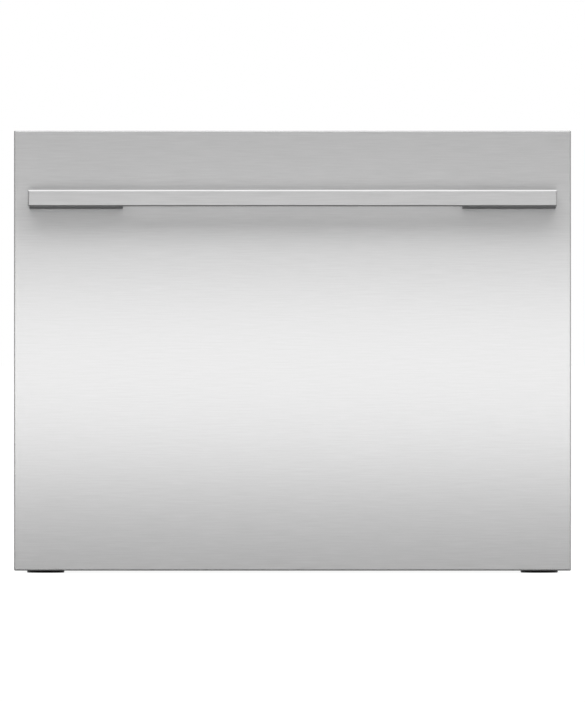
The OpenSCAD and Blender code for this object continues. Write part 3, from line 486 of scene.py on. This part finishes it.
varnish = surface("varnished_iron", 0.35, 0.5, Coat_Weight=0.3)
layers = grain(varnish, (30, 30, 2000), 2)
wire_up(varnish,
        Base_Color=layers.tint((0.020, 0.018, 0.018), (0.05, 0.045, 0.043)),
        Normal=relief(layers, 0.06, 0.8))
kept("motor_stator", varnish)
shaped("pump_rotor", "impeller", "pump_rotor", grey_plastic, edge=0.4)
shaped("pump_cover", "pump_cover_moulding", "drawer", grey_plastic, edge=0.6)
shaped("spray_arm", "spray_arm_blade", "spray_arm", tub_plastic, edge=1.2, steps=3)


# ---- Filters: a stainless plate pressed to a shallow dish and pierced all over with fine staggered
# holes lies over the sump, with a moulded filter cup in the middle that turns to unlock.

hole_pitch = 0.0036
pierced = surface("pierced_steel", 0.3, 1.0)
rows = [(way * (math.tau / hole_pitch)).sine() for way in own_place(pierced).axes()[:2]]
# The holes are not cut: each is painted near black as painted shade seen through it, and is also
# rougher and bumped.
hole_painted_dark = (rows[0] * rows[1]).ramp(0.42, 0.52)
sheen = grain(pierced, (30, 30, 30), 3)
# Base colour: painted shade in the holes, plain steel between them.
wire_up(pierced,
        Base_Color=hole_painted_dark.tint((0.56, 0.56, 0.56), (0.02, 0.02, 0.02)),
        Roughness=0.27 + sheen * 0.1 + hole_painted_dark * 0.4,
        Normal=relief(1 - hole_painted_dark, 0.5))
kept("filter_plate", pierced)
shaped("drain_filter", "drain_filter_cup", "drain_filter", grey_plastic, edge=0.5)


# ---- Dispenser: a grey moulding pushed into the tub's front wall, with a hinged white lid over the
# detergent and a blue screw cap over the rinse aid.

shaped("dispenser_body", "dispenser_moulding", "drawer", grey_plastic, edge=0.7)
shaped("dispenser_door", "detergent_lid", "dispenser_door", white_plastic,
       edge=0.5)
cap_plastic = moulded("cap_plastic", (0.10, 0.17, 0.27), 0.35)
shaped("rinse_cap", "rinse_aid_cap", "rinse_cap", cap_plastic, edge=0.6)


# ---- Racks: steel wire, bent and spot-welded, then dipped in grey nylon. The rows of tines and the
# cup racks are separate wires that fold down in clips.

coated = moulded("nylon_coating", (0.30, 0.32, 0.34), 0.30, pits=0.03)
for wire in ("left_rack", "right_rack", "left_outer_tines", "left_inner_tines",
             "right_outer_tines", "right_inner_tines", "left_cup_rack", "right_cup_rack"):
    kept(wire, coated)


# ---- Cutlery basket: a light moulded caddy with open lattice walls and floor, one wall across it,
# one low divider along it and a loop handle to lift it out by.

strip_width = 0.0018


def lattice(name, low, high, side, cuts, holes, thick):
    """A thin wall on the chosen sides of a box, open in each cell that passes the holes test."""
    piece = block(name, low, high)
    pick(piece, lambda middle, normal: not side(normal))
    bpy.ops.mesh.delete(type="FACE")
    bpy.ops.mesh.select_all(action="SELECT")
    bpy.ops.mesh.subdivide(number_cuts=cuts)
    bpy.ops.object.mode_set(mode="OBJECT")
    pick(piece, holes)
    bpy.ops.mesh.inset(thickness=strip_width, use_individual=True)
    bpy.ops.mesh.delete(type="FACE")
    bpy.ops.object.mode_set(mode="OBJECT")
    modified(piece, "SOLIDIFY", thickness=thick / 1000)
    return finished(piece, None, grey_plastic, edge=0.3, steps=1)


above_floor, below_rim, loop_top = at(0, 0, 122).z, at(0, 0, 205).z, at(0, 0, 260).z
caddy = [
    lattice("cutlery_caddy", at(30, 84, 111.4), at(240, 176, 230),
            lambda normal: normal.z < 0.9, 9,
            lambda middle, normal: normal.z < -0.9 or above_floor < middle.z < below_rim, 2.3),
    lattice("caddy_cross_wall", at(133.9, 86, 113.5), at(136.1, 174, 229.9),
            lambda normal: normal.x > 0.9, 9, lambda middle, normal: middle.z < below_rim, 2.2),
    lattice("caddy_divider", at(32, 128.8, 113.5), at(238, 131.2, 170),
            lambda normal: normal.y < -0.9, 6, lambda middle, normal: True, 2.4)]
loop = block("caddy_handle", at(85, 127, 170), at(89, 133, 260))
pick(loop, lambda middle, normal: normal.z > 0.9)
push(z=6)
bpy.ops.object.mode_set(mode="OBJECT")
pick(loop, lambda middle, normal: normal.x > 0.9 and middle.z > loop_top)
push(x=92)
push(x=4)
bpy.ops.object.mode_set(mode="OBJECT")
pick(loop, lambda middle, normal: normal.z < -0.9 and middle.x > at(181, 0, 0).x)
push(z=-90)
caddy.append(finished(loop, None, grey_plastic, edge=1.5, steps=4))
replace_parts(joined(caddy, "cutlery_caddy", "drawer"), "cutlery_basket")


# ---- Slides: three nested members of cold-rolled steel on each side, drawn bright along their
# length, run on two pairs of ball cages.

drawn = brushed("drawn_slide_steel", (0.60, 0.61, 0.62), 0.32, (500, 15, 500), 0.08, 0.05)
for rail in ("slide_outers", "slide_middles", "slide_inners"):
    kept(rail, drawn)
polished = brushed("ball_steel", (0.55, 0.55, 0.55), 0.2, (200, 40, 200), 0.06)
for cage in ("ball_cages_outer", "ball_cages_inner"):
    kept(cage, polished)


# ---- Chassis sheets and brackets: folded from hot-dipped zinc sheet, with its large pale crystals.
# The sides, back and top stand on the tray, and the brackets carry the tub on the slides.

crystals_a_metre = 55.0
zinc = surface("zinc_coated_sheet", 0.42, 1.0)
place = own_place(zinc)
spangle = place.add("TexVoronoi", {"Vector": place, "Scale": crystals_a_metre}, out="Color")
patch = spangle.add("SeparateColor", {0: spangle})
haze = grain(zinc, (8, 8, 8), 3)
wire_up(zinc,
        Base_Color=(patch * 0.5 + haze * 0.5).tint((0.46, 0.47, 0.485), (0.60, 0.61, 0.62)),
        Roughness=0.4 + patch * 0.08 + (haze - 0.5) * 0.05,
        Normal=relief(haze, 0.12, 0.1))
for part in ("left_side_panel", "right_side_panel", "rear_panel", "top_panel", "tub_brackets"):
    kept(part, zinc)


# ---- Chassis screws: twenty low pan-head screws that hold the slides, the top and the back, all of
# one size and plated like the handle's.

pan = finished(screw("chassis_screw", 3.6, 0.9, 1.9, 1.0), None, plated)
places = []
for side in (-1, 1):
    places += [(at(side * 297, d, 56), (0, side * 90, 0)) for d in (50, 200, 350, 540)]
for side in (-1, 1):
    places += [(at(side * 289, d, 454), (0, 0, 0)) for d in (60, 300, 530)]
for side in (-1, 1):
    places += [(at(side * 273, 571.8, z), (-90, 0, 0)) for z in (20, 220, 400)]
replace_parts(copied(pan, "chassis_pan_screws", places, "chassis"), "chassis_screws")
bpy.data.objects.remove(pan)


# ---- Lid: a white ribbed plate with a soft seal round it. A geared motor on each side of the
# chassis lowers it onto the tub through a brass pinion and a steel bar with rack teeth.

shaped("lid", "lid_plate", "lid", white_plastic, edge=0.7)
rubber = moulded("seal_rubber", (0.022, 0.022, 0.023), 0.72, pits=0.04, uneven=0.2)
shaped("lid_seal", "lid_seal_ring", "lid", rubber, edge=1.2, steps=3)
kept("lid_links", drawn)
brass = brushed("brass_gear", (0.62, 0.45, 0.18), 0.3, (400, 60, 60), 0.1)
kept("lid_pinions", brass)
shaped("lid_actuators", "lid_motors", "chassis", white_plastic, edge=0.8)


# ---- Tray, mouth seal and feet: the tray is one black moulding that catches drips and carries
# everything. A soft strip is pressed round the chassis's mouth, and four moulded feet screw up and
# down in the tray.

shaped("base_tray", "drip_tray", "chassis", black_plastic, edge=0.8)
shaped("door_gasket", "mouth_gasket", "chassis", rubber, edge=1.0)
for corner in ("front_left", "front_right", "rear_left", "rear_right"):
    foot = "foot_" + corner
    shaped(foot, corner + "_foot", foot, black_plastic, edge=0.8)


# ---- Connections: a black moulded pocket in the back with the cable's gland, a drain spigot and a
# white supply valve. The valve's inlet has a three-quarter inch thread, 1.81 mm a turn.

shaped("service_pocket", "connection_pocket", "chassis", black_plastic, edge=0.6)
shaped("drain_spigot", "drain_outlet", "chassis", black_plastic, edge=0.5)
valve_plastic = moulded("valve_plastic", white, 0.42)
across, deep, up = own_place(valve_plastic).axes()
inlet, thread_pitch, thread_start, thread_end = at(236, 0, 68), 0.00181, 544, 566
winding = up.maths("ARCTAN2", up - inlet.z, across - inlet.x)
ridge = (deep * (math.tau / thread_pitch) + winding).sine() * 0.5 + 0.5
starts = deep.ramp(at(0, thread_start, 0).y, at(0, thread_start + 1, 0).y)
stops = deep.ramp(at(0, thread_end - 1, 0).y, at(0, thread_end, 0).y, 1.0, 0.0)
wire_up(valve_plastic, Normal=relief(ridge * starts * stops, 1.0))
shaped("inlet_valve", "supply_valve", "chassis", valve_plastic, edge=0.5)


# ---- Hose arms: two black troughs, hinged at the back, at the elbow and under the tub, that fold
# together as the drawer closes. Each carries the fill hose and the drain hose between collars on
# its hinges.

trough_width = 0.045
hose_rubber = moulded("hose_rubber", (0.06, 0.062, 0.066), 0.5, pits=0.02, uneven=0.1)
for arm in ("hose_arm_rear", "hose_arm_front"):
    shaped(arm, arm + "_trough", arm, black_plastic, edge=0.5)
    bpy.ops.object.mode_set(mode="EDIT")
    bpy.ops.mesh.separate(type="LOOSE")
    bpy.ops.object.mode_set(mode="OBJECT")
    for part in list(bpy.context.selected_objects):
        if part.dimensions.y < trough_width:
            part.name = part.data.name = arm + "_hose"
            part.data.materials[0] = hose_rubber

pivot_x, pivot_d, tub_pivot_d, arm_length, hose_offset = -200, 545, 492, 400, 5.2
lean = math.degrees(math.asin((pivot_d - tub_pivot_d) / 2 / arm_length))
elbow = (pivot_x + arm_length * math.cos(math.radians(lean)),
         pivot_d - arm_length * math.sin(math.radians(lean)))


def beside(x, d, z, angle):
    """Two places, one each side of a hinge's axis, with the turn that points along an arm."""
    away_x = -math.sin(math.radians(angle)) * hose_offset
    away_d = math.cos(math.radians(angle)) * hose_offset
    return [(at(x + side * away_x, d + side * away_d, z), (0, 0, angle)) for side in (-1, 1)]


spigot_radius, collar_radius = 3.1, 4.95
spigot = added(bpy.ops.mesh.primitive_cylinder_add, "spigot", vertices=32,
               radius=spigot_radius / 1000, depth=0.0172, location=(0.0146, 0, 0),
               rotation=(0, math.radians(90), 0))
pick(spigot, lambda middle, normal: normal.x > 0.9)
push()
wider = collar_radius / spigot_radius
bpy.ops.transform.resize(value=(1, wider, wider))
push(x=3.8)
finished(spigot, None, black_plastic, edge=0.3)
union = finished(added(bpy.ops.mesh.primitive_cylinder_add, "union", vertices=48, radius=0.0095,
                       depth=0.0085), None, black_plastic, edge=0.8)
places = beside(pivot_x, pivot_d, 11.9, -lean) + beside(*elbow, 11.9, 180 - lean)
rear = copied(spigot, "rear_arm_spigots", places, None)
union_rear = copied(union, "rear_arm_union", [(at(*elbow, 13.4), (0, 0, 0))], None)
joined([rear, union_rear], "rear_arm_spigots", "hose_arm_rear")
copied(spigot, "front_arm_spigots", beside(*elbow, 25.9, 180 + lean), "hose_arm_front")


# ---- Hinge cap and hoses: a moulded cap on the tray's pivot post takes the two hoses from the
# pocket. The fill hose is smooth rubber and the drain hose is ribbed. A second pair rises from the
# arms' end to the sump.

ribbed_x, smooth_x = pivot_x - hose_offset, pivot_x + hose_offset
hose_radius, cap_corner = 4.6, 8

cap = block("hinge_cap", at(-212, 534, 17.8), at(-188, 560, 27))
pick_edges(cap, lambda a, b: abs(a.z - b.z) > 0.001)
bpy.ops.mesh.bevel(offset=cap_corner / 1000, segments=6)
finished(cap, None, black_plastic, edge=0.8)
places = [(at(x, 554, 10), (0, -90, 0)) for x in (ribbed_x, smooth_x)]
risers = copied(spigot, "cap_spigots", places, None)
joined([cap, risers], "hinge_cap", "chassis")
bpy.data.objects.remove(spigot)
bpy.data.objects.remove(union)


def swept(name, points, bend, ribbed):
    """A hose, straight from point to point, with its corners bent to a radius."""
    path = [points[0]]
    for before, corner, after in zip(points, points[1:], points[2:]):
        back, ahead = (before - corner).normalized(), (after - corner).normalized()
        half = back.angle(ahead) / 2
        centre = corner + (back + ahead).normalized() * bend / 1000 / math.sin(half)
        start, end = (corner + way * bend / 1000 / math.tan(half) - centre for way in (back, ahead))
        start, end = start.normalized(), end.normalized()
        path += [centre + start.slerp(end, step / 10) * bend / 1000 for step in range(11)]
    path.append(points[-1])
    if ribbed:
        rib, even, spare = 0.0013, [path[0]], 0.0
        for first, second in zip(path, path[1:]):
            run = (second - first).length
            while spare + rib <= run:
                spare += rib
                even.append(first.lerp(second, spare / run))
            spare -= run
        path = even + [path[-1]]
    line = bpy.data.curves.new(name, "CURVE")
    line.dimensions, line.use_fill_caps = "3D", True
    line.bevel_depth, line.bevel_resolution = hose_radius / 1000, 6
    spline = line.splines.new("POLY")
    spline.points.add(len(path) - 1)
    for number, (point, place) in enumerate(zip(spline.points, path)):
        point.co = (*place, 1)
        point.radius = 0.88 if ribbed and number // 2 % 2 else 1.0
    piece = bpy.data.objects.new(name, line)
    bpy.context.scene.collection.objects.link(piece)
    take(piece)
    bpy.ops.object.convert(target="MESH")
    return finished(bpy.context.object, None, hose_rubber)


supply = [swept("pocket_hose", [at(109, 554, z), at(x, 554, z), at(x, 554, 34)], 14, ribbed)
          for x, z, ribbed in ((ribbed_x, 84, True), (smooth_x, 54, False))]
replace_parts(joined(supply, "pocket_hoses", "chassis"), "chassis_hoses")
sump_d, sump_radius, start_z, end_z = 302.5, 94.7, 50, 59.7
rising = []
for x, d, ribbed in ((-46, 466, True), (-24, 486, False)):
    end_d = sump_d + math.sqrt(sump_radius ** 2 - x * x)
    points = [at(-178, d, start_z), at(x, d, start_z), at(x, end_d, start_z), at(x, end_d, end_z)]
    rising.append(swept("sump_hose", points, 9, ribbed))
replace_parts(joined(rising, "sump_hoses", "drawer"), "drawer_hoses")
